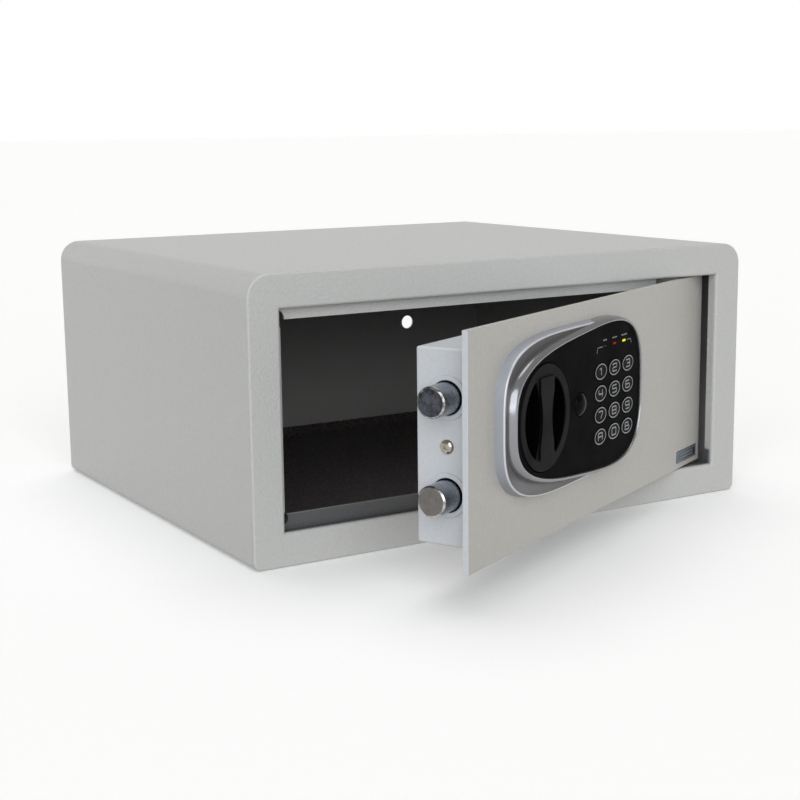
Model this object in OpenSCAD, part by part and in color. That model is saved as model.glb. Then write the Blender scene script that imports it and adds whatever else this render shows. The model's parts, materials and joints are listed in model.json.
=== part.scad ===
// In-room safe for a hotel room: welded steel cabinet, hinged door standing ajar,
// electronic lock with keypad, turn knob, rack of two live bolts and battery compartment.
// Millimetres. Origin at the centre of the cabinet's underside, +Z up, door at -Y.

/* [Cabinet] */
// Overall width of the cabinet
safe_w = 430; // [420:5:450]
// Overall height of the cabinet
safe_h = 200; // [200:2:210]
// Overall depth of the cabinet
safe_d = 370; // [350:5:420]
// Thickness of the wrap and back sheets
sheet_t = 2; // [1.5:0.5:3]
// Thickness of the front face
face_t = 2.5; // [2:0.5:3]
// Bend radius of the two upper long edges
top_r = 16; // [10:1:18]
// Bend radius of the two lower long edges
foot_r = 6; // [4:1:8]
// Thickness of the floor mat
mat_t = 5; // [3:1:8]

/* [Anchor holes] */
// Spacing of the two holes in the back, and of the two in the floor
anchor_pitch = 260; // [200:10:300]
// Diameter of the holes in the back
wall_hole_d = 12.5; // [10:0.5:14]
// Diameter of the holes in the floor
floor_hole_d = 10.5; // [8:0.5:12]
// Height of the holes in the back
wall_hole_z = 105; // [80:5:140]

/* [Door opening] */
// Width of the rim around the opening
rim_w = 24; // [22:1:26]
// Depth of the opening's side walls
jamb_d = 8.5; // [7.5:0.5:10]
// Thickness of the stop lips and of the folded side walls
lip_t = 2; // [1.5:0.5:3]
// Height that the upper stop lip hangs below the opening's top
lip_top = 8; // [5:1:10]
// Height that the lower stop lip stands above the sill
lip_bottom = 11; // [6:1:11]
// Width of the stop lip beside the bolts
lip_side = 4; // [3:0.5:6]
// Length of rim without a stop lip, beside the hinge
lip_gap = 54; // [50:1:70]

/* [Door] */
// How far the door stands open
open_angle = 26.8; // [0:0.1:90]
// Thickness of the door plate
plate_t = 4; // [3:0.5:6]
// How far the closed door sits behind the rim's face
recess = 3; // [2:0.5:4]
// Gap above and below the door, and at its free edge
door_gap = 1; // [0.8:0.1:1.5]
// Gap at the hinge edge
hinge_gap = 3.4; // [3:0.1:5]
// Distance from the opening's hinge side to the pivot
pivot_in = 31.5; // [30:0.5:35]
// Distance from the rim's face back to the pivot
pivot_back = 20.2; // [19:0.1:22]
// Diameter of the hinge pins
pin_d = 8; // [6:0.5:8]

/* [Lock cover] */
// Width of the folded cover behind the door plate
cover_w = 298; // [290:1:300]
// Height of the cover
cover_h = 124; // [120:1:126]
// Depth of the cover
cover_d = 41; // [41:1:46]
// Thickness of the cover's sheet
cover_t = 1.5; // [1:0.5:2]
// Distance from the door's free edge to the cover
cover_inset = 15; // [14:0.5:16]

/* [Bolts] */
// Diameter of the live bolts
bolt_d = 20; // [16:1:20]
// Vertical spacing of the two bolts
bolt_pitch = 61; // [58:1:64]
// Travel of the bolts, which is also how far they stand out
bolt_throw = 20; // [14:1:20]
// Diameter of the flange around each bolt
bush_flange_d = 28; // [26:1:30]

/* [Lock front] */
// Width of the silver bezel
bezel_w = 207.2; // [200:0.4:212]
// Height of the silver bezel
bezel_h = 107.2; // [104:0.4:110]
// Height of the bezel's outer step above the door
bezel_step = 7; // [5:0.5:8]
// Height of the bezel's inner lip above the door
bezel_lip = 10.5; // [9:0.5:12]
// Height of the black panel's face above the door
panel_rise = 9; // [9:0.5:10]
// Diameter of the turn knob
knob_d = 70; // [60:1:70]
// Width of a key
key_w = 18.8; // [16:0.2:19]
// Height of a key
key_h = 11.6; // [10:0.2:12]
// Horizontal spacing of the keys
key_pitch_x = 22.4; // [22:0.1:23]
// Vertical spacing of the keys
key_pitch_z = 15.1; // [15:0.1:16]
// Travel of a key
key_travel = 0.8; // [0.5:0.1:0.8]

/* [Hidden] */
$fn = 64;

// running clearance on a radius, and the slack of parts that only pass by
run = 0.05;
slack = 0.3;

// cabinet faces and the opening
half_w = safe_w / 2;
front_y = -safe_d / 2;
back_y = safe_d / 2;
open_x0 = -half_w + rim_w;
open_x1 = half_w - rim_w;
open_z0 = rim_w;
open_z1 = safe_h - rim_w;
jamb_y = front_y + jamb_d;

// door plate, closed
door_x0 = open_x0 + door_gap;
door_x1 = open_x1 - hinge_gap;
door_z0 = open_z0 + door_gap;
door_z1 = open_z1 - door_gap;
door_y0 = front_y + recess;
door_y1 = door_y0 + plate_t;
pivot_x = open_x1 - pivot_in;
pivot_y = front_y + pivot_back;

// cover behind the door plate
box_x0 = door_x0 + cover_inset;
box_x1 = box_x0 + cover_w;
box_z0 = door_z0 + 12;
box_z1 = box_z0 + cover_h;
box_y1 = door_y1 + cover_d;
box_in_y = box_y1 - cover_t;

// bolts and their carriage
bolt_y = door_y1 + 19;
bolt_z = [100 - bolt_pitch / 2, 100 + bolt_pitch / 2];
bolt_x0 = box_x0 - bolt_throw;
flange_x = box_x0 + 25;
flange_t = 3;
web_y0 = door_y1 + 4;
web_y1 = web_y0 + 3;
screw_d = 6;

// lock front, on the door plate
face_y = door_y0 - panel_rise;
panel_t = 3;
panel_back_y = face_y + panel_t;
board_y0 = door_y0 - 3.6;
board_y1 = board_y0 + 1.6;
membrane_y = board_y0 - 0.6;
mid_z = 109.5;
bezel_x = -54;
panel_x = -50.5;
panel_a = 94.9;
panel_b = 47;
panel_flare = 9;
// ledge that the panel rests on, and wall of the knob's well
seat_ledge = 0.9;
well_wall = 1.1;
knob_x = -106;
cap_x = -53.5;
cap_d = 16;
key_x = 0;
key_z0 = 82;
led_z = 144.1;
led_w = 5;
led_h = 2.5;
led_pitch = 16;

// where the mat ends, and where it turns up against the back wall
mat_back_y = back_y - sheet_t - 1;
mat_turn_t = 3;
mat_turn_h = 14;
// crank pin on the cam that drives the carriage through a quarter turn
crank_r = bolt_throw / sqrt(2);
crank_pin_d = 5;
spindle_d = 10;
guide_x = -112;
guide_z = [66, 136];
guide_d = 6;
plunger_x = -104;
plunger_z = 75;
plunger_d = 5;

// electronics
cell_d = 14.5;
cell_l = 50;
pack_x = [40, 102];
pack_z = [66, 134];
cell_pitch = 15.5;
circuit_x = [-45, 25];
circuit_z = [55, 145];
circuit_y = box_in_y - 7.6;
reset_x = 8;
reset_z = 125;

// panel fastening bosses: x and z of each
BOSSES = [[-72, 147], [-72, 72], [26, 146], [14, 68]];

// ---------- helpers ----------

// children drawn in x and z, from y0 back to y1
module slab_y(y0, y1) {
    translate([0, y1, 0]) rotate([90, 0, 0]) linear_extrude(y1 - y0) children();
}

// children that stand on z, turned to run back along y from y0
module along_y(x, y0, z) {
    translate([x, y0, z]) rotate([-90, 0, 0]) children();
}

// children that stand on z, turned to run along x from x0
module along_x(x0, y, z) {
    translate([x0, y, z]) rotate([0, 90, 0]) children();
}

module block(x0, x1, y0, y1, z0, z1) {
    translate([x0, y0, z0]) cube([x1 - x0, y1 - y0, z1 - z0]);
}

// turns the closed door's children to where the door stands
module on_door() {
    translate([pivot_x, pivot_y, 0]) rotate([0, 0, open_angle])
        translate([-pivot_x, -pivot_y, 0]) children();
}

// rounded outline of the cabinet, drawn inward by t
module cabinet_outline(t = 0) {
    x = half_w - t;
    z0 = t;
    z1 = safe_h - t;
    rt = top_r - t;
    rf = foot_r - t;
    polygon([
        [-x + rf, z0], [x - rf, z0], [x, z0 + rf], [x, z1 - rt],
        [x - rt, z1], [-x + rt, z1], [-x, z1 - rt], [-x, z0 + rf]
    ]);
    for (s = [-1, 1]) {
        translate([s * (x - rt), z1 - rt]) circle(rt);
        translate([s * (x - rf), z0 + rf]) circle(rf);
    }
}

// point of a superellipse with half axes a, b and exponent n
function squircle(t, a, b, n) = [
    a * sign(cos(t)) * pow(abs(cos(t)), 2 / n),
    b * sign(sin(t)) * pow(abs(sin(t)), 2 / n)
];

// squared-off oval that grows taller towards +x by flare
module oval(x, z, a, b, n, flare = 0, grow = 0) {
    polygon([
        for (t = [2.5 : 5 : 360])
            let (p = squircle(t, a + grow, 1, n))
            [x + p[0], z + p[1] * (b + grow + flare * p[0] / a)]
    ]);
}

module panel_outline(grow = 0) {
    oval(panel_x, mid_z, panel_a, panel_b, 3.3, panel_flare, grow);
}

module ellipse(x, z, w, h) {
    polygon([for (t = [0 : 10 : 350]) [x + w / 2 * cos(t), z + h / 2 * sin(t)]]);
}

// slot with round ends between two points on one x or z line
module slot(p, q, r) {
    for (c = [p, q]) translate(c) circle(r);
    if (p[0] == q[0]) translate([p[0] - r, p[1]]) square([2 * r, q[1] - p[1]]);
    else translate([p[0], p[1] - r]) square([q[0] - p[0], 2 * r]);
}

// row and column of a key, counted from the upper left
function key_at(col, row) = [key_x + (col - 1) * key_pitch_x, key_z0 + (3 - row) * key_pitch_z];

// ---------- cabinet ----------

module outer_shell() {
    color("gainsboro") difference() {
        slab_y(front_y + face_t, back_y) difference() {
            cabinet_outline();
            cabinet_outline(sheet_t);
        }
        for (s = [-1, 1])
            translate([s * anchor_pitch / 2, 0, -1]) cylinder(h = sheet_t + 2, d = floor_hole_d);
    }
}

module back_panel() {
    color("gainsboro") slab_y(back_y - sheet_t, back_y) difference() {
        cabinet_outline(sheet_t);
        for (s = [-1, 1])
            translate([s * anchor_pitch / 2, wall_hole_z]) circle(d = wall_hole_d);
    }
}

// face, folded side walls of the opening and the stop lips behind them
module front_frame() {
    lip_end = open_x1 - lip_gap;
    color("gainsboro") {
        slab_y(front_y, front_y + face_t) difference() {
            cabinet_outline();
            translate([open_x0, open_z0]) square([open_x1 - open_x0, open_z1 - open_z0]);
        }
        difference() {
            block(open_x0 - lip_t, open_x1 + lip_t, front_y + face_t, jamb_y,
                open_z0 - lip_t, open_z1 + lip_t);
            block(open_x0, open_x1, front_y, jamb_y + 1, open_z0, open_z1);
            // gap in the folded corner, above the bolts' side wall
            block(open_x0 - lip_t - 1, open_x0 + 1, front_y + 4, jamb_y + 1, open_z1 - 10, open_z1 - 0.6);
        }
        slab_y(jamb_y, jamb_y + lip_t) difference() {
            translate([open_x0 - lip_t, open_z0 - lip_t])
                square([lip_end - open_x0 + lip_t, open_z1 - open_z0 + 2 * lip_t]);
            translate([open_x0 + lip_side, open_z0 + lip_bottom])
                square([safe_w, open_z1 - open_z0 - lip_bottom - lip_top]);
            // round reliefs where the lips would meet
            translate([open_x0 + 2, open_z0 + 8]) circle(4.2);
            translate([open_x0 + 0.5, open_z1 - 7.5]) circle(6.5);
        }
    }
}

module floor_mat() {
    side = half_w - sheet_t - 1.5;
    color("dimgray") difference() {
        union() {
            block(-side, side, front_y + 11, mat_back_y, sheet_t, sheet_t + mat_t);
            block(-side, side, mat_back_y - mat_turn_t, mat_back_y, sheet_t, sheet_t + mat_turn_h);
        }
        for (s = [-1, 1])
            translate([s * anchor_pitch / 2, 0, 0]) cylinder(h = 20, d = 22);
        // clears the bends along the lower edges
        for (s = [0, 1]) mirror([s, 0, 0])
            block(side - foot_r + 2.5, side + 1, front_y, back_y, sheet_t - 1, sheet_t + 1.5);
    }
}

// shelf welded behind the rim that carries a hinge bush
module hinge_bracket(z) {
    color("silver") difference() {
        block(pivot_x - 20, pivot_x + 20, front_y + face_t, pivot_y + 15, z, z + 4);
        translate([pivot_x, pivot_y, z - 1]) cylinder(h = 6, d = pin_d + 4 + 2 * run);
    }
}

module hinge_bracket_upper() hinge_bracket(open_z1 + lip_t);

module hinge_bracket_lower() hinge_bracket(open_z0 - lip_t - 4);

// flanged bush, flange upwards, seat from z = 0 to 4
module pivot_bush() {
    color("ivory") difference() {
        union() {
            cylinder(h = 4, d = pin_d + 4);
            translate([0, 0, 4]) cylinder(h = 2.7, d = pin_d + 8);
        }
        translate([0, 0, -1]) cylinder(h = 9, d = pin_d + 2 * run);
    }
}

module pivot_bush_upper() {
    translate([pivot_x, pivot_y, open_z1 + lip_t + 4]) mirror([0, 0, 1]) pivot_bush();
}

module pivot_bush_lower() {
    translate([pivot_x, pivot_y, open_z0 - lip_t - 4]) pivot_bush();
}

// bar behind the stop lip that the thrown bolts bear on
module bolt_keeper() {
    y0 = jamb_y + lip_t;
    color("silver") block(open_x0 - lip_t, open_x0 + lip_side - 0.5, y0, bolt_y - bolt_d / 2 - 0.5,
        open_z0 + 16, open_z1 - 16);
}

// ---------- door ----------

// flat plate with a welded tab inside each end of the cover
module door_plate() {
    tab_t = 2;
    color("gainsboro") on_door() {
        slab_y(door_y0, door_y1) difference() {
            translate([door_x0, door_z0]) square([door_x1 - door_x0, door_z1 - door_z0]);
            translate([knob_x, mid_z]) circle(d = spindle_d + 6.2);
            translate([cap_x, mid_z]) circle(d = 15);
            translate([-6, 75]) square([20, 6]);
            for (b = BOSSES) translate(b) circle(d = 4.6);
        }
        for (x = [box_x0 + cover_t + 0.1, box_x1 - cover_t - 0.1 - tab_t]) difference() {
            block(x, x + tab_t, door_y1, bolt_y + 8, 92, 108);
            along_x(x - 1, bolt_y, 100) cylinder(h = tab_t + 2, d = 4 + 2 * run);
        }
    }
}

// folded tray over the mechanism, open towards the plate
module lock_box() {
    t = cover_t;
    color("gainsboro") on_door() difference() {
        union() {
            difference() {
                block(box_x0, box_x1, door_y1, box_y1, box_z0, box_z1);
                block(box_x0 + t, box_x1 - t, door_y1 - 1, box_in_y, box_z0 + t, box_z1 - t);
            }
            // standoffs for the control board
            for (x = [circuit_x[0] + 5, circuit_x[1] - 5])
                for (z = [circuit_z[0] + 5, circuit_z[1] - 5])
                    along_y(x, circuit_y + 1.6, z) cylinder(h = 6, d = 6);
        }
        for (z = bolt_z)
            along_x(box_x0 - 1, bolt_y, z) cylinder(h = t + 2, d = bolt_d + 5.2);
        for (x = [box_x0 - 1, box_x1 - t - 1])
            along_x(x, bolt_y, 100) cylinder(h = t + 2, d = 4.2);
        block(pack_x[0] + 1, pack_x[1] - 1, box_in_y - 1, box_y1 + 1, pack_z[0] + 1, pack_z[1] - 1);
        along_y(reset_x, box_in_y - 1, reset_z) cylinder(h = t + 2, d = 8 + 2 * slack);
    }
}

// pan head with a hexagon socket, head towards -z
module pan_screw(head_d, head_h, shank_d, shank_l) {
    difference() {
        union() {
            rotate_extrude() intersection() {
                translate([0, head_d * 0.62 - head_h]) circle(head_d * 0.62);
                translate([0, -head_h]) square([head_d / 2, head_h]);
            }
            cylinder(h = shank_l, d = shank_d);
        }
        translate([0, 0, -head_h - 1]) cylinder(h = 2.4, d = head_d * 0.42, $fn = 6);
    }
}

module cover_screws() {
    color("silver") on_door() {
        along_x(box_x0, bolt_y, 100) pan_screw(9, 3, 4, 8);
        along_x(box_x1, bolt_y, 100) rotate([180, 0, 0]) pan_screw(9, 3, 4, 8);
    }
}

// flange outside the cover, barrel inside, with a wide mouth around the bolt
module bolt_bush(z) {
    color("gainsboro") on_door() along_x(box_x0, bolt_y, z) difference() {
        union() {
            translate([0, 0, -1.2]) cylinder(h = 1.2, d = bush_flange_d);
            translate([0, 0, 0]) cylinder(h = 9, d = bolt_d + 5);
        }
        translate([0, 0, -2]) cylinder(h = 3, d = bolt_d + 1.6);
        cylinder(h = 10, d = bolt_d + 2 * run);
    }
}

module bolt_bush_upper() bolt_bush(bolt_z[1]);

module bolt_bush_lower() bolt_bush(bolt_z[0]);

// ear welded behind the door plate
module hinge_lug(z) {
    color("silver") on_door() difference() {
        block(pivot_x - 11.5, pivot_x + 11.5, door_y1, pivot_y + 9, z, z + 5);
        translate([pivot_x, pivot_y, z - 1]) cylinder(h = 7, d = pin_d + 2 * run);
    }
}

module hinge_lug_upper() hinge_lug(door_z1 - 5);

module hinge_lug_lower() hinge_lug(door_z0);

module hinge_pin_upper() {
    color("silver") on_door() translate([pivot_x, pivot_y, door_z1 - 5]) cylinder(h = 13, d = pin_d);
}

module hinge_pin_lower() {
    color("silver") on_door() translate([pivot_x, pivot_y, door_z0 - 8]) cylinder(h = 13, d = pin_d);
}

module badge_plate() {
    color("slategray") on_door() block(141, 180.5, door_y0 - 0.8, door_y0, 29.5, 39);
}

// ---------- lock front ----------

module lock_bezel() {
    color("silver") on_door() difference() {
        union() {
            slab_y(door_y0 - bezel_step, door_y0)
                oval(bezel_x, mid_z, bezel_w / 2, bezel_h / 2, 3.5);
            slab_y(door_y0 - bezel_lip, door_y0) panel_outline(4);
        }
        slab_y(door_y0 - bezel_lip - 1, panel_back_y) panel_outline(slack);
        slab_y(panel_back_y - 1, door_y0 + 1) panel_outline(-seat_ledge);
    }
}

// black panel with the knob's well, the keys' windows and four bosses
module fascia_panel() {
    color("#161616") on_door() difference() {
        union() {
            slab_y(face_y, panel_back_y) panel_outline();
            along_y(knob_x, panel_back_y, mid_z)
                cylinder(h = door_y0 - 0.2 - panel_back_y, d = knob_d + 1 + 2 * well_wall);
            for (b = BOSSES)
                along_y(b[0], panel_back_y, b[1]) cylinder(h = door_y0 - panel_back_y, d = 7);
        }
        along_y(knob_x, face_y - 1, mid_z) cylinder(h = 20, d = knob_d + 1);
        along_y(cap_x, face_y - 1, mid_z) cylinder(h = 20, d = cap_d + 2 * slack);
        slab_y(face_y - 1, panel_back_y + 1) {
            for (col = [0 : 2]) for (row = [0 : 3])
                ellipse(key_at(col, row)[0], key_at(col, row)[1], key_w + 2 * slack, key_h + 2 * slack);
            for (i = [-1 : 1])
                translate([key_x + i * led_pitch - led_w / 2 - 0.15, led_z - led_h / 2 - 0.15])
                    square([led_w + 0.3, led_h + 0.3]);
        }
        for (b = BOSSES)
            along_y(b[0], panel_back_y + 1, b[1]) cylinder(h = 10, d = 4 + 2 * run);
    }
}

// screws from behind the door plate into the panel's bosses
module fascia_screws() {
    color("silver") on_door() for (b = BOSSES)
        translate([b[0], door_y1, b[1]]) rotate([90, 0, 0]) pan_screw(7, 2, 4, 8);
}

module key_membrane() {
    color("dimgray") on_door() slab_y(membrane_y, board_y0)
        translate([key_x - 33, key_z0 - 8]) square([66, 62]);
}

// board behind the keys, narrower where it carries the lights
module keypad_board() {
    color("darkgreen") on_door() slab_y(board_y0, board_y1) {
        translate([key_x - 33, key_z0 - 8]) square([66, 62]);
        translate([key_x - 21, key_z0 + 50]) square([42, 18]);
    }
}

module led(i, shade) {
    x = key_x + i * led_pitch;
    color(shade) on_door()
        block(x - led_w / 2, x + led_w / 2, face_y - 0.1, board_y0, led_z - led_h / 2, led_z + led_h / 2);
}

module led_green() led(-1, "darkslategray");

module led_red() led(0, "firebrick");

module led_yellow() led(1, "yellow");

// oval key with a flange that keeps it behind the panel
module key(col, row) {
    c = key_at(col, row);
    color("#202020") on_door() {
        slab_y(face_y - 0.4, panel_back_y + 0.05) ellipse(c[0], c[1], key_w, key_h);
        slab_y(panel_back_y + 0.05, panel_back_y + 0.85) ellipse(c[0], c[1], key_w + 2.6, key_h + 2.6);
    }
}

module key_1() key(0, 0);
module key_2() key(1, 0);
module key_3() key(2, 0);
module key_4() key(0, 1);
module key_5() key(1, 1);
module key_6() key(2, 1);
module key_7() key(0, 2);
module key_8() key(1, 2);
module key_9() key(2, 2);
module key_a() key(0, 3);
module key_0() key(1, 3);
module key_b() key(2, 3);

// ---------- knob, spindle and cam ----------

// disc with two finger pockets that leave a waisted grip bar
module knob() {
    grip_y = face_y - 0.75;
    pocket_r = 28.4;
    waist_r = 51;
    waist_x = 58;
    color("#161616") on_door() difference() {
        union() {
            along_y(knob_x, grip_y, mid_z) cylinder(h = door_y0 - 0.4 - grip_y, d = knob_d);
            intersection() {
                block(knob_x - 9.9, knob_x + 9.9, grip_y - 1.2, grip_y, mid_z - 26.8, mid_z + 26.8);
                difference() {
                    along_y(knob_x, grip_y - 2, mid_z) cylinder(h = 4, d = knob_d);
                    for (s = [-1, 1])
                        along_y(knob_x + s * waist_x, grip_y - 3, mid_z)
                            cylinder(h = 6, r = waist_r, $fn = 128);
                }
            }
        }
        for (s = [-1, 1]) intersection() {
            along_y(knob_x, grip_y - 1, mid_z) cylinder(h = 9, r = pocket_r, $fn = 96);
            along_y(knob_x + s * waist_x, grip_y - 1, mid_z) cylinder(h = 9, r = waist_r, $fn = 128);
        }
        along_y(knob_x, grip_y + 2.5, mid_z) cylinder(h = 10, d = spindle_d + 2 * run);
    }
}

module knob_spindle() {
    color("silver") on_door() along_y(knob_x, face_y + 1.9, mid_z)
        cylinder(h = web_y1 + 8 - face_y - 1.9, d = spindle_d);
}

// disc on the spindle whose pin works in the carriage's upright slot
module drive_cam() {
    y0 = web_y1 + 3;
    color("goldenrod") on_door() difference() {
        union() {
            along_y(knob_x, y0, mid_z) cylinder(h = 3, d = 2 * crank_r + 8);
            along_y(knob_x - crank_r / sqrt(2), web_y0 + 0.4, mid_z + crank_r / sqrt(2))
                cylinder(h = y0 - web_y0 - 0.4, d = crank_pin_d);
        }
        along_y(knob_x, y0 - 1, mid_z) cylinder(h = 5, d = spindle_d + 2 * run);
    }
}

module spindle_bush() {
    color("ivory") on_door() difference() {
        union() {
            along_y(knob_x, door_y0, mid_z) cylinder(h = plate_t, d = spindle_d + 6);
            along_y(knob_x, door_y1, mid_z) cylinder(h = 1.5, d = spindle_d + 10);
        }
        along_y(knob_x, door_y0 - 1, mid_z) cylinder(h = 10, d = spindle_d + 2 * run);
    }
}

// ---------- bolt work ----------

// plate that carries both bolts, slotted for the spindle, crank pin and guide posts
module bolt_carriage() {
    color("lightsteelblue") on_door() {
        slab_y(web_y0, web_y1) difference() {
            translate([flange_x, 58]) square([64, 88]);
            slot([knob_x - bolt_throw, mid_z], [knob_x, mid_z], spindle_d / 2 + 0.5);
            slot([knob_x - crank_r / sqrt(2), mid_z + crank_r / sqrt(2)],
                [knob_x - crank_r / sqrt(2), mid_z + crank_r], crank_pin_d / 2 + 0.55);
            for (z = guide_z)
                slot([guide_x - bolt_throw, z], [guide_x, z], guide_d / 2 + 0.1);
            for (x = [0, -bolt_throw])
                translate([plunger_x + x, plunger_z]) circle(d = plunger_d + 1);
        }
        difference() {
            block(flange_x, flange_x + flange_t, web_y1, bolt_y + 11, 58, 142);
            for (z = bolt_z)
                along_x(flange_x - 1, bolt_y, z) cylinder(h = flange_t + 2, d = screw_d + 0.2);
        }
    }
}

// round bolt with a chamfered nose and a tapped tail
module live_bolt(z) {
    length = flange_x - bolt_x0;
    nose = 1.5;
    color("silver") on_door() along_x(bolt_x0, bolt_y, z) difference() {
        rotate_extrude() polygon([
            [0, 0], [bolt_d / 2 - nose, 0], [bolt_d / 2, nose], [bolt_d / 2, length], [0, length]
        ]);
        translate([0, 0, length - 15]) cylinder(h = 16, d = screw_d + 2 * run);
    }
}

module live_bolt_upper() live_bolt(bolt_z[1]);

module live_bolt_lower() live_bolt(bolt_z[0]);

module bolt_screws() {
    color("silver") on_door() for (z = bolt_z)
        along_x(flange_x + flange_t, bolt_y, z) rotate([180, 0, 0]) pan_screw(10, 4, screw_d, 17);
}

module guide_posts() {
    color("silver") on_door() for (z = guide_z) along_y(guide_x, door_y1, z) {
        cylinder(h = web_y1 + 0.1 - door_y1, d = guide_d);
        translate([0, 0, web_y1 + 0.1 - door_y1]) cylinder(h = 1.5, d = guide_d + 4);
    }
}

// ---------- override lock and blocking solenoid ----------

module lock_cylinder() {
    y0 = panel_back_y - 0.2;
    color("silver") on_door() difference() {
        union() {
            along_y(cap_x, y0, mid_z) cylinder(h = 24, d = 14.4);
            along_y(cap_x, door_y0 - 1.5, mid_z) cylinder(h = 1.5, d = 18);
            along_y(cap_x, door_y1, mid_z) cylinder(h = 3, d = 21, $fn = 6);
        }
        along_y(cap_x, y0 - 1, mid_z) cylinder(h = 30, d = 9 + 2 * run);
    }
}

// keyed plug with a tail that reaches the solenoid's release
module cylinder_plug() {
    y0 = panel_back_y - 0.2;
    color("goldenrod") on_door() {
        difference() {
            along_y(cap_x, y0, mid_z) cylinder(h = 25, d = 9);
            block(cap_x - 0.7, cap_x + 0.7, y0 - 1, y0 + 6, mid_z - 3, mid_z + 2.5);
        }
        along_y(cap_x, y0 + 25, mid_z) cylinder(h = 2, d = 12);
        block(cap_x - 4, cap_x + 4, y0 + 25, y0 + 27, mid_z, mid_z + 17);
    }
}

// domed cover that pulls out of the panel
module override_cap() {
    dome_h = 3.2;
    dome_r = (cap_d * cap_d / 4 + dome_h * dome_h) / (2 * dome_h);
    color("#101010") on_door() {
        along_y(cap_x, face_y, mid_z) cylinder(h = panel_t - 0.6, d = cap_d);
        translate([cap_x, face_y, mid_z]) rotate([90, 0, 0]) rotate_extrude() intersection() {
            translate([0, dome_h - dome_r]) circle(dome_r, $fn = 96);
            square([cap_d / 2, dome_h]);
        }
    }
}

module solenoid_body() {
    color("darkslategray") on_door() difference() {
        block(plunger_x - 11, plunger_x + 11, web_y1 + 4, box_in_y, plunger_z - 11, plunger_z + 11);
        along_y(plunger_x, web_y1 + 3, plunger_z) cylinder(h = 20, d = plunger_d + 2 * run);
    }
}

module solenoid_plunger() {
    color("silver") on_door() along_y(plunger_x, web_y1 + 0.5, plunger_z)
        cylinder(h = 20, d = plunger_d);
}

// ---------- electronics ----------

// main circuit with its relay, terminal blocks and ribbon socket
module control_board() {
    x0 = circuit_x[0];
    x1 = circuit_x[1];
    y = circuit_y;
    color("darkgreen") on_door() {
        block(x0, x1, y, y + 1.6, circuit_z[0], circuit_z[1]);
        block(x1 - 12, x1, y - 8, y, 114, 128);
        block(x0, x0 + 10, y - 8, y, 70, 84);
        block(-8, 16, y - 6, y, 89, 97);
        block(-30, -11, y - 11, y, 105, 121);
    }
}

// open tray for four cells, its mouth closed by the battery cover
module battery_box() {
    color("#202020") on_door() difference() {
        block(pack_x[0], pack_x[1], box_in_y - 18.5, box_in_y, pack_z[0], pack_z[1]);
        block(pack_x[0] + 2, pack_x[1] - 2, box_in_y - 16.5, box_in_y + 1, pack_z[0] + 2, pack_z[1] - 2);
    }
}

module battery_cells() {
    x0 = (pack_x[0] + pack_x[1] - cell_l) / 2;
    z_mid = (pack_z[0] + pack_z[1]) / 2;
    color("darkorange") on_door() for (i = [-1.5 : 1 : 1.5])
        along_x(x0, box_in_y - 8.5, z_mid + i * cell_pitch) {
            cylinder(h = cell_l - 1.5, d = cell_d);
            translate([0, 0, cell_l - 1.5]) cylinder(h = 1.5, d = 5.5);
        }
}

module battery_cover() {
    color("#202020") on_door() {
        block(pack_x[0] - 4, pack_x[1] + 4, box_y1, box_y1 + 1.5, pack_z[0] - 4, pack_z[1] + 4);
        block(pack_x[0] + 1 + slack, pack_x[1] - 1 - slack, box_in_y + 0.1, box_y1,
            pack_z[0] + 1 + slack, pack_z[1] - 1 - slack);
    }
}

// push button over a switch on the control board
module reset_button() {
    color("firebrick") on_door() {
        along_y(reset_x, box_in_y - 4, reset_z) cylinder(h = 6.3, d = 8);
        along_y(reset_x, box_in_y - 2, reset_z) cylinder(h = 1.9, d = 11);
    }
}

// flat cable from the keypad board, through the door plate, to the control board
module ribbon_cable() {
    z0 = 78;
    rise = 15;
    y0 = board_y1;
    y1 = circuit_y - 6;
    steps = 16;
    path = [for (i = [0 : steps]) let (s = max(0, i / steps * 1.4 - 0.4))
        [y0 + (y1 - y0) * i / steps, z0 + rise * (s * s * (3 - 2 * s))]];
    color("gray") on_door() translate([-4, 0, 0]) rotate([90, 0, 90]) linear_extrude(16)
        polygon(concat([for (p = path) [p[0], p[1] - 0.5]],
            [for (i = [steps : -1 : 0]) [path[i][0], path[i][1] + 0.5]]));
}

// leads from the cells and from the solenoid to the control board
module lock_leads() {
    y = circuit_y - 4;
    color("firebrick") on_door() {
        for (z = [118, 124])
            along_x(circuit_x[1], y, z) cylinder(h = pack_x[0] - circuit_x[1], d = 1.8);
        for (z = [74, 80])
            along_x(plunger_x + 11, y, z) cylinder(h = circuit_x[0] - plunger_x - 11, d = 1.8);
    }
}

outer_shell();
back_panel();
front_frame();
floor_mat();
hinge_bracket_upper();
hinge_bracket_lower();
pivot_bush_upper();
pivot_bush_lower();
bolt_keeper();
door_plate();
lock_box();
cover_screws();
bolt_bush_upper();
bolt_bush_lower();
hinge_lug_upper();
hinge_lug_lower();
hinge_pin_upper();
hinge_pin_lower();
lock_bezel();
fascia_panel();
fascia_screws();
key_membrane();
keypad_board();
led_green();
led_red();
led_yellow();
badge_plate();
spindle_bush();
guide_posts();
lock_cylinder();
solenoid_body();
control_board();
battery_box();
battery_cells();
ribbon_cable();
lock_leads();
knob();
knob_spindle();
drive_cam();
bolt_carriage();
live_bolt_upper();
live_bolt_lower();
bolt_screws();
key_1();
key_2();
key_3();
key_4();
key_5();
key_6();
key_7();
key_8();
key_9();
key_a();
key_0();
key_b();
override_cap();
cylinder_plug();
solenoid_plunger();
battery_cover();
reset_button();
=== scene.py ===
"""Looks of the in-room safe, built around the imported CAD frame.

Shapes are given in millimetres with the door shut and square to the cabinet: x to the right, y to the
back, z up. make() scales them to metres, and turns those on the door to where the door stands.
"""

import json
import math

import bmesh
import bpy
from mathutils import Matrix, Vector, noise


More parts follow.
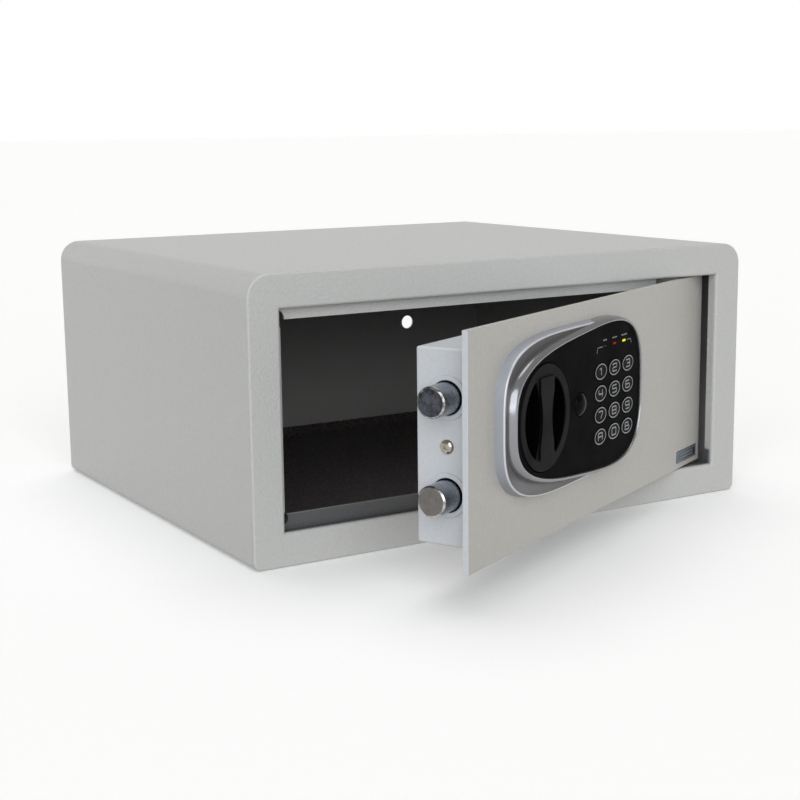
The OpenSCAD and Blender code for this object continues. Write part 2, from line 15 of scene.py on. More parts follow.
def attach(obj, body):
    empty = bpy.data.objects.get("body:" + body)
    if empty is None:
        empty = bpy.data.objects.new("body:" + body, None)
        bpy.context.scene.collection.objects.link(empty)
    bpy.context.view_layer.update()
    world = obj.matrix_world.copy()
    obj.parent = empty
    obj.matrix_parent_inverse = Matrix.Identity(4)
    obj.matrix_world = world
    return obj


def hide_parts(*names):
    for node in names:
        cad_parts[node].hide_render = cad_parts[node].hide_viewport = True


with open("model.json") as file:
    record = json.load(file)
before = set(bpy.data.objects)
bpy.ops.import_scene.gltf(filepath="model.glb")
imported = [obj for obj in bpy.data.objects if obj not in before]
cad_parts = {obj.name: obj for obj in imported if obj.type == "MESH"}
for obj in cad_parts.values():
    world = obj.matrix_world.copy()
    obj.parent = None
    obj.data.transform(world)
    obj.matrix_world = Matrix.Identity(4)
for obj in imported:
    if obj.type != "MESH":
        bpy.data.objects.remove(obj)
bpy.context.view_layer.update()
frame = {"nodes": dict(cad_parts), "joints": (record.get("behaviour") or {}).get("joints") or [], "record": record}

MM = 0.001
TAU = 2 * math.pi
X_AXIS, Y_AXIS, Z_AXIS = (1, 0, 0), (0, 1, 0), (0, 0, 1)
WELD = 1e-4     # points closer than this, in millimetres, are merged
AXIS_R = 0.01   # radius of a lathe's ring that should lie on its axis

swing = next(j for j in frame["joints"] if j["name"] == "door_swing")
pivot = Vector((swing["pos_m"][0], swing["pos_m"][1], 0))
open_angle = -math.radians(swing["range_deg"][0])
AJAR = Matrix.Translation(pivot) @ Matrix.Rotation(open_angle, 4, "Z") @ Matrix.Translation(-pivot)
SHUT = AJAR.inverted()
node_body = {n: b for b, nodes in frame["record"]["behaviour"]["bodies"].items() for n in nodes}
node_slot = {s["node"]: s["material_slot"] for s in frame["record"]["subparts"]}


def shut_box(node):
    """A node's lowest and highest corners in millimetres, with the door shut."""
    turn = Matrix.Identity(4) if node_body[node] == "cabinet" else SHUT
    points = [turn @ v.co / MM for v in frame["nodes"][node].data.vertices]
    low = Vector([min(p[i] for p in points) for i in range(3)])
    high = Vector([max(p[i] for p in points) for i in range(3)])
    return low, high


def shut_middle(node):
    low, high = shut_box(node)
    return (low + high) / 2


# -------- shape helpers

def ellipse(x, z, w, h, count=72):
    return [(x + w / 2 * math.cos(TAU * i / count), z + h / 2 * math.sin(TAU * i / count))
            for i in range(count)]


def circle(x, z, r, count=96):
    return ellipse(x, z, 2 * r, 2 * r, count)


def rounded_rect(x0, x1, z0, z1, r, steps=6):
    """Outline with corner radius r, or one radius for each corner from lower left, anticlockwise."""
    radii = r if isinstance(r, (list, tuple)) else [r] * 4
    corners = [(x0, z0, 1, 1, 180), (x1, z0, -1, 1, 270), (x1, z1, -1, -1, 0), (x0, z1, 1, -1, 90)]
    points = []
    for (x, z, sx, sz, start), radius in zip(corners, radii):
        for i in range(steps + 1):
            a = math.radians(start + 90 * i / steps)
            points.append((x + sx * radius + radius * math.cos(a), z + sz * radius + radius * math.sin(a)))
    return points


OVAL_POINTS = 240


def oval(x, z, a, b, n, flare=0, grow=0):
    """Squared-off oval that grows taller towards +x by flare. grow may be a function of the angle."""
    points = []
    for i in range(OVAL_POINTS):
        t = TAU * (i + 0.5) / OVAL_POINTS
        g = grow(t) if callable(grow) else grow
        r = (abs(math.cos(t)) ** n + abs(math.sin(t)) ** n) ** (-1 / n)
        px, pz = r * math.cos(t), r * math.sin(t)
        points.append((x + px * (a + g), z + pz * (b + g + flare * px * (a + g) / a)))
    return points


def new_object(name, data):
    thing = bpy.data.objects.new(name, data)
    bpy.context.scene.collection.objects.link(thing)
    return thing


def mesh_of(bm):
    mesh = bpy.data.meshes.new("part")
    bmesh.ops.recalc_face_normals(bm, faces=bm.faces)
    bm.to_mesh(mesh)
    bm.free()
    return mesh


def add_spline(curve, points, cyclic=False):
    spline = curve.splines.new("POLY")
    spline.points.add(len(points) - 1)
    for point, place in zip(spline.points, points):
        point.co = (*place, 1)
    spline.use_cyclic_u = cyclic


def curve_mesh(curve):
    holder = new_object("curve", curve)
    evaluated = holder.evaluated_get(bpy.context.evaluated_depsgraph_get())
    mesh = bpy.data.meshes.new_from_object(evaluated)
    bpy.data.objects.remove(holder)
    return mesh


def slab(outlines, y0, y1, bevel=0.4, steps=2):
    """Plate with its face in x and z and rounded edges. Outlines after the first are holes."""
    curve = bpy.data.curves.new("slab", "CURVE")
    curve.dimensions = "2D"
    curve.fill_mode = "BOTH"
    curve.extrude = (y1 - y0) / 2 - bevel
    curve.bevel_depth = bevel
    curve.bevel_resolution = steps
    curve.offset = -bevel
    for points in outlines:
        add_spline(curve, [(x, z, 0) for x, z in points], True)
    mesh = curve_mesh(curve)
    mesh.transform(Matrix.Translation((0, (y0 + y1) / 2, 0)) @ Matrix.Rotation(math.pi / 2, 4, "X"))
    bm = bmesh.new()
    bm.from_mesh(mesh)
    bmesh.ops.remove_doubles(bm, verts=bm.verts, dist=WELD)
    return mesh_of(bm)


def loft(rings, loop=False):
    """Skin over rings of (x, y, z) points. The ends are closed, unless the last ring meets the first."""
    bm = bmesh.new()
    rows = [[bm.verts.new(p) for p in ring] for ring in rings]
    pairs = list(zip(rows, rows[1:] + rows[:1])) if loop else list(zip(rows, rows[1:]))
    count = len(rings[0])
    for a, b in pairs:
        for i in range(count):
            j = (i + 1) % count
            bm.faces.new((a[i], a[j], b[j], b[i]))
    if not loop:
        bm.faces.new(rows[0])
        bm.faces.new(rows[-1])
    return mesh_of(bm)


def ring_about(centre, axis, h, radii):
    """Points around an axis at a distance h along it, one for each radius."""
    axis = Vector(axis).normalized()
    side = axis.orthogonal().normalized()
    other = axis.cross(side)
    angles = [TAU * i / len(radii) for i in range(len(radii))]
    return [Vector(centre) + axis * h + side * r * math.cos(a) + other * r * math.sin(a)
            for r, a in zip(radii, angles)]


def lathe(profile, centre, axis, count=72, loop=False):
    """Turns (radius, distance along axis) points about an axis through centre."""
    return loft([ring_about(centre, axis, h, [max(r, AXIS_R)] * count) for r, h in profile], loop)


def drill(x, y, z, radius, axis, reach=8, count=64):
    """Cylinder that cuts a hole, reaching both ways from a point."""
    return lathe([(radius, -reach), (radius, reach)], (x, y, z), axis, count)


def cuboid(x0, x1, y0, y1, z0, z1, bevel=0.3, steps=2):
    bm = bmesh.new()
    bmesh.ops.create_cube(bm, size=1)
    for v in bm.verts:
        v.co = (x0 if v.co.x < 0 else x1, y0 if v.co.y < 0 else y1, z0 if v.co.z < 0 else z1)
    if bevel:
        bmesh.ops.bevel(bm, geom=bm.edges[:], offset=bevel, segments=steps, profile=0.5, affect="EDGES")
    return mesh_of(bm)


def together(*meshes):
    """Several closed shells as one mesh."""
    bm = bmesh.new()
    for mesh in meshes:
        bm.from_mesh(mesh)
    joined = bpy.data.meshes.new("part")
    bm.to_mesh(joined)
    bm.free()
    return joined


def carve(mesh, tools, operation="DIFFERENCE"):
    """Boolean of a mesh with each tool in turn."""
    for tool in tools:
        a, b = new_object("carved", mesh), new_object("tool", tool)
        boolean = a.modifiers.new("boolean", "BOOLEAN")
        boolean.operation = operation
        boolean.solver = "EXACT"
        boolean.object = b
        evaluated = a.evaluated_get(bpy.context.evaluated_depsgraph_get())
        mesh = bpy.data.meshes.new_from_object(evaluated)
        for o in (a, b):
            bpy.data.objects.remove(o)
    return mesh


def make(name, mesh, finish, *nodes, body=None, angle=35):
    """Puts a millimetre mesh in place as a piece that stands for the nodes and rides with their body."""
    body = body or node_body[nodes[0]]
    mesh.transform(Matrix.Scale(MM, 4))
    if body != "cabinet":
        mesh.transform(AJAR)
    mesh.name = name
    piece = new_object(name, mesh)
    mesh.shade_smooth()
    mesh.set_sharp_from_angle(angle=math.radians(angle))
    weighted = piece.modifiers.new("weighted_normals", "WEIGHTED_NORMAL")
    weighted.keep_sharp = True
    mesh.materials.clear()
    mesh.materials.append(finish)
    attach(piece, body)
    if nodes:
        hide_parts(*nodes)
    return piece


def paint_faces(piece, finishes, parts):
    """Adds finishes to a piece. parts names one for each face: 0 is the piece's first finish."""
    for finish in finishes:
        piece.data.materials.append(finish)
    for face, part in zip(piece.data.polygons, parts):
        face.material_index = int(part)


# -------- materials

def add_node(tree, kind, **inputs):
    """A tree's new node. Each input is set to a value or linked to another node's output."""
    node = tree.nodes.new("ShaderNode" + kind)
    for name, value in inputs.items():
        socket = node.inputs[name.replace("_", " ")]
        if isinstance(value, bpy.types.NodeSocket):
            tree.links.new(value, socket)
        else:
            socket.default_value = value
    return node


class Nodes:
    """A material's node tree with short calls for what every finish here uses."""

    def __init__(self, name, color, roughness, metallic=0.0, **sockets):
        self.material = bpy.data.materials.new(name)
        self.material.use_nodes = True
        self.tree = self.material.node_tree
        self.shader = self.tree.nodes["Principled BSDF"]
        self.shader.inputs["Base Color"].default_value = (*color, 1)
        self.shader.inputs["Roughness"].default_value = roughness
        self.shader.inputs["Metallic"].default_value = metallic
        for socket, value in sockets.items():
            self.shader.inputs[socket.replace("_", " ")].default_value = value
        self.place = add_node(self.tree, "TexCoord").outputs["Object"]
        self.bumped = None

    def noise(self, scale, detail=2.0, stretch=None, roughness=0.5):
        """Noise with that many cells in a metre. A stretch above 1 packs them closer along its axis."""
        place = self.place
        if stretch:
            place = add_node(self.tree, "Mapping", Scale=stretch, Vector=place).outputs["Vector"]
        node = add_node(self.tree, "TexNoise", Scale=scale, Detail=detail, Roughness=roughness, Vector=place)
        return node.outputs["Fac"]

    def spread(self, value, low, high, start=0.3, stop=0.7):
        """Maps a noise value to a range of numbers."""
        node = add_node(self.tree, "MapRange", From_Min=start, From_Max=stop, To_Min=low, To_Max=high,
                        Value=value)
        return node.outputs["Result"]

    def tint(self, value, low, high, start=0.3, stop=0.7):
        """Base colour between two colours, as a noise value says."""
        ramp = add_node(self.tree, "ValToRGB", Fac=value)
        for i, (position, color) in enumerate(((start, low), (stop, high))):
            ramp.color_ramp.elements[i].position = position
            ramp.color_ramp.elements[i].color = (*color, 1)
        self.tree.links.new(ramp.outputs["Color"], self.shader.inputs["Base Color"])

    def gloss(self, value, low, high):
        """Roughness between two numbers, as a noise value says."""
        self.tree.links.new(self.spread(value, low, high), self.shader.inputs["Roughness"])

    def bump(self, value, height_mm, strength=1.0):
        node = add_node(self.tree, "Bump", Strength=strength, Distance=height_mm * MM, Height=value)
        if self.bumped:
            self.tree.links.new(self.bumped, node.inputs["Normal"])
        self.bumped = node.outputs["Normal"]
        self.tree.links.new(self.bumped, self.shader.inputs["Normal"])


def shade(color, factor):
    """A darker or lighter tone of a colour."""
    return tuple(min(1.0, c * factor) for c in color)


def powder_coat(name, color, grain_mm=1.7, relief_mm=0.40):
    """Pale enamel with a fine orange-peel skin."""
    coat = Nodes(name, color, 0.33)
    coat.tint(coat.noise(400, 3), shade(color, 0.97), shade(color, 1.03))
    coat.gloss(coat.noise(300, 2), 0.30, 0.37)
    coat.bump(coat.noise(1000 / grain_mm, 2), relief_mm)
    return coat.material


# Paints light and shade into a coat as a smooth change of tone over positions.
def blend_painted_light(material, tone, steps):
    """Turns a coat towards another tone. Each step is an axis and where the change starts and ends, in
    millimetres, and all of them have to hold."""
    tree = material.node_tree
    shader = tree.nodes["Principled BSDF"]
    plain = shader.inputs["Base Color"].links[0].from_socket
    split = add_node(tree, "SeparateXYZ", Vector=add_node(tree, "TexCoord").outputs["Object"])
    share = None
    for axis, start, stop in steps:
        step = add_node(tree, "MapRange", From_Min=start * MM, From_Max=stop * MM, Value=split.outputs[axis])
        step.interpolation_type = "SMOOTHSTEP"
        if share:
            both = add_node(tree, "Math")
            both.operation = "MULTIPLY"
            tree.links.new(share, both.inputs[0])
            tree.links.new(step.outputs["Result"], both.inputs[1])
            share = both.outputs["Value"]
        else:
            share = step.outputs["Result"]
    mix = add_node(tree, "Mix")
    mix.data_type = "RGBA"
    plain_socket, tone_socket = [i for i in mix.inputs if i.type == "RGBA"]
    tone_socket.default_value = (*tone, 1)
    tree.links.new(share, mix.inputs["Factor"])
    tree.links.new(plain, plain_socket)
    tree.links.new([o for o in mix.outputs if o.type == "RGBA"][0], shader.inputs["Base Color"])


def chrome(name, color, low, high, mottle=0.75):
    """Plated steel with handling marks. A low mottle makes dark patches that stand for painted reflections."""
    metal = Nodes(name, color, low, 1.0)
    metal.tint(metal.noise(160, 6, roughness=0.7), shade(color, mottle), color, 0.38, 0.62)
    metal.gloss(metal.noise(240, 5, roughness=0.7), low, high)
    metal.bump(metal.noise(900, 3, stretch=(1, 6, 6)), 0.012)
    return metal.material


def brushed(name, color, roughness=0.32, stretch=(1, 1, 14)):
    """Bare metal with fine lines across the stretched axis."""
    metal = Nodes(name, color, roughness, 1.0)
    metal.tint(metal.noise(120, 4), shade(color, 0.82), color)
    metal.gloss(metal.noise(700, 3, stretch=stretch), roughness * 0.75, roughness * 1.35)
    metal.bump(metal.noise(900, 2, stretch=stretch), 0.008)
    return metal.material


def silver_paint(name, color, metallic=0.5, roughness=0.26):
    """Metallic lacquer over a moulding: fine flake and a soft sheen."""
    paint = Nodes(name, color, roughness, metallic)
    paint.tint(paint.noise(60, 2), shade(color, 0.97), shade(color, 1.03))
    paint.gloss(paint.noise(200, 2), roughness * 0.88, roughness * 1.12)
    paint.bump(paint.noise(250, 2), 0.004)
    return paint.material


def moulded(name, color, roughness, texture_mm=0.5, relief_mm=0.015, **sockets):
    """Injection-moulded plastic with a fine spark-eroded grain."""
    plastic = Nodes(name, color, roughness, **sockets)
    plastic.tint(plastic.noise(14, 2), shade(color, 0.88), shade(color, 1.12))
    plastic.gloss(plastic.noise(50, 3), roughness * 0.85, roughness * 1.15)
    plastic.bump(plastic.noise(1000 / texture_mm, 2), relief_mm)
    return plastic.material


def needle_punch(name, color):
    """Short fuzzy carpet: dark clumps, pale fibre tips and a strong sheen."""
    pile = Nodes(name, color, 0.95, Sheen_Weight=0.12, Sheen_Roughness=0.5, Specular_IOR_Level=0.1)
    pile.shader.inputs["Sheen Tint"].default_value = (0.55, 0.5, 0.5, 1)
    pile.tint(pile.noise(520, 6, roughness=0.85), shade(color, 0.35), shade(color, 2.6), 0.36, 0.70)
    pile.bump(pile.noise(1100, 5, roughness=0.8), 0.9, 0.8)
    pile.bump(pile.noise(120, 3), 0.8, 0.6)
    return pile.material


def lens(name, color, glow=0.0):
    """Small tinted light pipe, lit or unlit."""
    glass = Nodes(name, color, 0.4, Specular_IOR_Level=0.03)
    glass.tint(glass.noise(500, 2), shade(color, 0.8), shade(color, 1.15))
    glass.bump(glass.noise(1200, 1), 0.004)
    glass.shader.inputs["Emission Color"].default_value = (*color, 1)
    glass.shader.inputs["Emission Strength"].default_value = glow
    return glass.material


# Each finish has its name, its base colour, and what its function asks for after those.
body_coat = powder_coat("body_coat", (0.50, 0.505, 0.495))
frame_coat = powder_coat("frame_coat", (0.495, 0.495, 0.48))
# The inside coat is darkened as painted shade.
inside_painted_shade = powder_coat("inside_painted_shade", (0.24, 0.238, 0.234), 1.3, 0.05)
door_coat = powder_coat("door_coat", (0.472, 0.458, 0.425))
cover_coat = powder_coat("cover_coat", (0.555, 0.575, 0.60), 1.1, 0.04)
bolt_plate = chrome("bolt_plate", (0.37, 0.40, 0.45), 0.20, 0.38, 0.72)
# The bolts' rim and end finishes are painted highlights and painted reflections on the plating.
bolt_rim_reflection = chrome("bolt_rim_reflection", (0.58, 0.56, 0.54), 0.06, 0.14, 0.16)
bolt_end_dark_reflection = chrome("bolt_end_dark_reflection", (0.085, 0.093, 0.108), 0.12, 0.40, 0.22)
bolt_end_warm_reflection = chrome("bolt_end_warm_reflection", (0.175, 0.165, 0.155), 0.22, 0.34, 0.8)
zinc = brushed("zinc", (0.66, 0.67, 0.69))
nickel = chrome("nickel", (0.46, 0.42, 0.36), 0.10, 0.22)
brass = brushed("brass", (0.78, 0.58, 0.26), 0.26)
# The bezel's face, wall and crest finishes are shaded, lit and highlighted copies of one silver paint.
bezel_face_shaded = silver_paint("bezel_face_shaded", (0.142, 0.135, 0.138), 0.25, 0.38)
bezel_wall_lit = silver_paint("bezel_wall_lit", (0.335, 0.348, 0.385), 0.15, 0.40)
bezel_crest_highlight = silver_paint("bezel_crest_highlight", (0.60, 0.61, 0.64), 0.3, 0.34)
bezel_lip = silver_paint("bezel_lip", (0.29, 0.292, 0.305), 0.75, 0.20)
panel_black = moulded("panel_black", (0.0042, 0.0037, 0.0038), 0.50, Specular_IOR_Level=0.01)
knob_black = moulded("knob_black", (0.0065, 0.0063, 0.0066), 0.48, 0.45, 0.02, Specular_IOR_Level=0.04)
key_black = moulded("key_black", (0.0065, 0.0063, 0.0066), 0.50, Specular_IOR_Level=0.03)
cap_black = moulded("cap_black", (0.002, 0.002, 0.0023), 0.05, 0.9, 0.002, Specular_IOR_Level=0.06)
# Painted shade for the knob's finger pockets.
pocket_shade = moulded("pocket_shade", (0.0014, 0.0012, 0.0012), 0.55, Specular_IOR_Level=0.01)
legend = moulded("legend", (0.27, 0.28, 0.285), 0.5, 2.0, 0.002)
nylon = moulded("nylon", (0.78, 0.76, 0.70), 0.45)
rubber = moulded("rubber", (0.28, 0.28, 0.29), 0.75)
board_green = moulded("board_green", (0.02, 0.13, 0.055), 0.3, 0.8)
black_case = moulded("black_case", (0.02, 0.02, 0.022), 0.5, 0.6, 0.03)
cell_wrap = moulded("cell_wrap", (0.72, 0.26, 0.03), 0.3, 1.0, 0.004)
insulation = moulded("insulation", (0.42, 0.42, 0.44), 0.5)
button_red = moulded("button_red", (0.50, 0.025, 0.02), 0.35)
badge_grey = brushed("badge_grey", (0.17, 0.20, 0.25), 0.38, (14, 1, 1))
carpet = needle_punch("carpet", (0.074, 0.064, 0.060))
led_green = lens("led_green", (0.006, 0.028, 0.022))
led_red = lens("led_red", (0.30, 0.010, 0.010), 0.18)
led_yellow = lens("led_yellow", (0.80, 0.74, 0.02), 0.45)

# Painted light on the inside coat: paler over these heights, down to the floor, as more light reaches the lower
# inside through the opening.
blend_painted_light(inside_painted_shade, (0.50, 0.48, 0.46), [("Z", 150, 25)])

# -------- cabinet

face_low, face_high = shut_box("front_frame")
shell_low, shell_high = shut_box("outer_shell")
SHEET_T = 2             # thickness of the cabinet's sheet
RIM = 24                # width of the face around the opening
TOP_R, FOOT_R = 16, 6   # outer bends at the top and at the foot
EDGE_R = 1.6            # rounding of the face's outer edge
FOLD_R = 2.4            # rounding where the face folds into the opening
ARC = 8                 # steps in each corner of an outline
HOLE_POINTS = 48
WALL_HOLE_Z, WALL_HOLE_R, FLOOR_HOLE_R = 105, 6.25, 5.25
anchors = next(m for m in frame["record"]["mounts"] if m["name"] == "wall_anchor_holes")
anchor_x = anchors["dims"]["spacing_x_mm"] / 2
joint_y = shell_low.y
open_x0, open_x1 = face_low.x + RIM, face_high.x - RIM
open_z0, open_z1 = face_low.z + RIM, face_high.z - RIM
lip_y = face_high.y - SHEET_T


def cabinet_ring(inset, y):
    """The cabinet's rounded outline at a depth, drawn inward by inset."""
    top, foot = max(TOP_R - inset, 0.2), max(FOOT_R - inset, 0.2)
    outline = rounded_rect(shell_low.x + inset, shell_high.x - inset, shell_low.z + inset,
                           shell_high.z - inset, [foot, foot, top, top], ARC)
    return [(x, y, z) for x, z in outline]


def opening_ring(grow, y):
    """The door opening's outline at a depth, drawn outward by grow."""
    corner_r = 0.5 + grow / 3
    outline = rounded_rect(open_x0 - grow, open_x1 + grow, open_z0 - grow, open_z1 + grow, corner_r, ARC)
    return [(x, y, z) for x, z in outline]


def arc_steps(count=6):
    """(inward, forward) shares along a quarter circle."""
    angles = [math.pi / 2 * i / count for i in range(count + 1)]
    return [(1 - math.cos(a), math.sin(a)) for a in angles]


def paint_inside_shade(piece):
    """Painted shade: a darker coat on the faces that look into the safe, where little light reaches."""
    middle = Vector((0, 0, (shell_low.z + shell_high.z) / 2)) * MM
    reach = (shell_high.y - SHEET_T / 2) * MM
    paint_faces(piece, [inside_painted_shade], [f.normal.dot(middle - f.center) > 0 and abs(f.center.y) < reach
                                      for f in piece.data.polygons])


def build_shell():
    """Bent wrap of one sheet, its back edge eased, with two holes in the floor."""
    back = shell_high.y
    eased, chamfer = 0.6, 0.18
    rings = [cabinet_ring(0, joint_y), cabinet_ring(0, back - eased), cabinet_ring(chamfer, back - chamfer),
             cabinet_ring(eased, back), cabinet_ring(SHEET_T, back), cabinet_ring(SHEET_T, joint_y)]
    drills = [drill(s * anchor_x, 0, 0, FLOOR_HOLE_R, Z_AXIS, 8, HOLE_POINTS) for s in (-1, 1)]
    mesh = carve(loft(rings, True), drills)
    paint_inside_shade(make("shell", mesh, body_coat, "outer_shell"))


def build_back():
    """Panel set inside the wrap, with two holes for fixing to a wall."""
    inside = [(x, z) for x, _, z in cabinet_ring(SHEET_T, 0)]
    holes = [circle(s * anchor_x, WALL_HOLE_Z, WALL_HOLE_R, HOLE_POINTS) for s in (-1, 1)]
    mesh = slab([inside, *holes], shell_high.y - SHEET_T, shell_high.y, 0.3)
    paint_inside_shade(make("back", mesh, body_coat, "back_panel"))


def build_front():
    """Face with a rounded outer edge, the opening's folded sides and the stop lips behind them."""
    y0 = face_low.y
    rings = [cabinet_ring(EDGE_R * a, y0 + EDGE_R * (1 - b)) for a, b in arc_steps()]
    rings.insert(0, cabinet_ring(0, joint_y))
    rings += [opening_ring(FOLD_R * (1 - b), y0 + FOLD_R * a) for a, b in arc_steps()]
    rings += [opening_ring(0, lip_y), opening_ring(SHEET_T, lip_y), opening_ring(SHEET_T, joint_y)]
    notch = cuboid(open_x0 - 3, open_x0 + 1, y0 + 4, lip_y + 1, open_z1 - 10, open_z1 - 0.6, 0)
    face = carve(loft(rings, True), [notch])
    hinge_gap, lap = 54, 2      # left free at the hinge side, and hidden behind the folded sides
    left, right, foot, head = open_x0 - lap, open_x1 - hinge_gap, open_z0 - lap, open_z1 + lap
    side, sill, lintel = open_x0 + 4, open_z0 + 11, open_z1 - 8
    outline = [(left, foot), (right, foot), (right, sill), (side, sill), (side, lintel), (right, lintel),
               (right, head), (left, head)]
    reliefs = [drill(open_x0 + 2, lip_y, open_z0 + 8, 4.2, Y_AXIS, 4, 48),
               drill(open_x0 + 0.5, lip_y, open_z1 - 7.5, 6.5, Y_AXIS, 4)]
    lips = carve(slab([outline], lip_y, face_high.y, 0.35), reliefs)
    # Painted shade: the sill and the foot of the stop lip turn dark, as shade in the recess at the bottom of the
    # opening.
    sill_shade_z = open_z0 + 12.5
    blend_painted_light(frame_coat, (0.080, 0.080, 0.082),
               [("Y", y0 + 0.8, y0 + 5.2), ("Z", sill_shade_z, sill_shade_z - 2.4)])
    make("front", together(face, lips), frame_coat, "front_frame", angle=40)


def build_mat():
    """Carpet laid on the floor and turned up at the back wall, its pile uneven and its edges worn round."""
    low, high = shut_box("floor_mat")
    floor_z, thick, bend = 7, 3, 4          # top of the pile, thickness of the turned-up part, its bend
    cell = 2.5                              # spacing of the points
    tuft, clump, relief = 1.9, 6, 0.3       # sizes in the pile, and how much each lifts it
    worn, margin = 1.6, 3                   # how far the edges are worn down, and how wide
    hem = 0.05                              # gap under the mat
    back = high.y - thick
    run = back - bend - low.y
    path = [(low.y + run * j / int(run / cell), floor_z) for j in range(int(run / cell) + 1)]
    path += [(back - bend + bend * math.sin(a), floor_z + bend - bend * math.cos(a))
             for a in (math.pi / 6, math.pi / 3, math.pi / 2)]
    path += [(back, floor_z + bend + 2), (back, high.z - 0.8), (high.y - 2.4, high.z - 0.1),
             (high.y - 0.3, high.z)]
    nx = int((high.x - low.x) / cell)
    bm = bmesh.new()
    grid = []
    for j, (y, z) in enumerate(path):
        before, after = path[max(j - 1, 0)], path[min(j + 1, len(path) - 1)]
        out = Vector((0, before[1] - after[1], after[0] - before[0])).normalized()
        row = []
        for i in range(nx + 1):
            x = low.x + (high.x - low.x) * i / nx
            edge = min(x - low.x, high.x - x, y - low.y)
            drop = worn * max(0.0, 1 - edge / margin) ** 2
            lift = noise.noise(Vector((x / clump, y / clump, z / clump))) * relief
            lift += noise.noise(Vector((x / tuft, y / tuft, z))) * relief
            row.append(bm.verts.new(Vector((x, y, z)) + out * (lift - 2 * relief - drop)))
        grid.append(row)
    for j in range(len(grid) - 1):
        for i in range(nx):
            bm.faces.new((grid[j][i], grid[j][i + 1], grid[j + 1][i + 1], grid[j + 1][i]))
    rim = [e for e in bm.edges if e.is_boundary]
    skirt = bmesh.ops.extrude_edge_only(bm, edges=rim)["geom"]
    for v in skirt:
        if isinstance(v, bmesh.types.BMVert):
            v.co.z = low.z + hem
    bmesh.ops.contextual_create(bm, geom=[e for e in bm.edges if e.is_boundary])
    # Painted light: the mat's front strip turns paler, where light falls in through the opening.
    blend_painted_light(carpet, (0.115, 0.100, 0.098), [("Y", low.y + 26, low.y + 4)])
    make("mat", mesh_of(bm), carpet, "floor_mat", angle=80)


# -------- door

plate_low, plate_high = shut_box("door_plate")
cover_low, cover_high = shut_box("lock_box")
PLATE_T = 4
plate_front = plate_low.y
plate_back = plate_front + PLATE_T
bolt_centres = {n: shut_middle(n) for n in ("live_bolt_upper", "live_bolt_lower")}
bolt_y = bolt_centres["live_bolt_upper"].y
screw_z = sum(c.z for c in bolt_centres.values()) / 2
knob_low, knob_high = shut_box("knob")
knob_mid = (knob_low + knob_high) / 2
cap_low, cap_high = shut_box("override_cap")
cap_mid = (cap_low + cap_high) / 2


def build_plate():
    """Flat door with the lock's holes, two tabs behind it for the cover's screws, and painted light on its left
    edge, which takes the paler cover coat.
    """
    spindle_hole_r, cylinder_hole_r, cable_slot = 8.1, 7.5, (-6, 14, 75, 81)
    edge_r = 0.4
    outline = rounded_rect(plate_low.x, plate_high.x, plate_low.z, plate_high.z, edge_r, 2)
    holes = [circle(knob_mid.x, knob_mid.z, spindle_hole_r), circle(cap_mid.x, knob_mid.z, cylinder_hole_r),
             rounded_rect(*cable_slot, 0.5, 2)]
    plate = slab([outline, *holes], plate_front, plate_back, edge_r, 3)
    tab_t, tab_half, tab_hole_r = 2, 8, 2.05
    tabs = []
    for x in (cover_low.x + 1.6, cover_high.x - 3.6):
        tab = cuboid(x, x + tab_t, plate_back - 0.5, plate_high.y, screw_z - tab_half,
                     screw_z + tab_half, 0.3)
        tabs.append(carve(tab, [drill(x, bolt_y, screw_z, tab_hole_r, X_AXIS)]))
    mesh = together(plate, *tabs)
    # Painted light: the left edge gets the paler, bluer cover coat, as light from the left falls on it.
    lit_edge = [p.center.x < plate_low.x + 0.35 for p in mesh.polygons]
    paint_faces(make("plate", mesh, door_coat, "door_plate"), [cover_coat], lit_edge)


def build_cover():
    """Folded tray with rounded bends and an open front. It starts too deep, and the front is cut off."""
    t, bend_r = 1.5, 1.5
    bolt_hole_r, screw_hole_r, reset_hole_r = 12.6, 2.1, 4.3
    low, high = cover_low, cover_high
    outside = cuboid(low.x, high.x, low.y - 6, high.y, low.z, high.z, bend_r, 4)
    inside = cuboid(low.x + t, high.x - t, low.y - 8, high.y - t, low.z + t, high.z - t, 0.4, 2)
    front = cuboid(low.x - 5, high.x + 5, low.y - 20, low.y, low.z - 5, high.z + 5, 0)
    pack_low, pack_high = shut_box("battery_box")
    pack = cuboid(pack_low.x + 1, pack_high.x - 1, high.y - 3, high.y + 3, pack_low.z + 1, pack_high.z - 1, 0)
    reset = shut_middle("reset_button")
    tools = [inside, front, pack]
    tools += [drill(low.x, c.y, c.z, bolt_hole_r, X_AXIS, 4) for c in bolt_centres.values()]
    tools += [drill(x, bolt_y, screw_z, screw_hole_r, X_AXIS, 3) for x in (low.x, high.x)]
    tools.append(drill(reset.x, high.y, reset.z, reset_hole_r, Y_AXIS, 4))
    make("cover", carve(outside, tools), cover_coat, "lock_box")


BOLT_POINTS = 96


def build_bolts():
    """Plated bolts with a rounded nose. The rim of the nose is brighter and mottled with painted highlights and
    painted dark reflections, and the end face carries painted reflections over fine marks.
    """
    nose, bore_r, bore = 1.0, 3.1, 15
    for node, centre in bolt_centres.items():
        low, high = shut_box(node)
        r, length = (high.z - low.z) / 2, high.x - low.x
        profile = [(0, 0), (r - nose - 0.3, 0), (r - nose, 0.12), (r - 0.2, nose - 0.12), (r, nose + 0.2),
                   (r, length - 0.5), (r - 0.5, length), (bore_r, length), (bore_r, length - bore),
                   (0, length - bore)]
        mesh = lathe(profile, (low.x, centre.y, centre.z), X_AXIS, BOLT_POINTS)
        parts = []
        for middle in [f.center for f in mesh.polygons]:
            from_axis = math.hypot(middle.y - centre.y, middle.z - centre.z)
            end = 2 if from_axis < r - nose - 0.35 else 1
            parts.append(end if middle.x < low.x + nose + 0.25 else 0)
        # The end finishes are painted reflections: dark on the upper bolt, warm on the lower.
        worn = bolt_end_dark_reflection if "upper" in node else bolt_end_warm_reflection
        paint_faces(make(node.replace("live_", ""), mesh, bolt_plate, node), [bolt_rim_reflection, worn], parts)


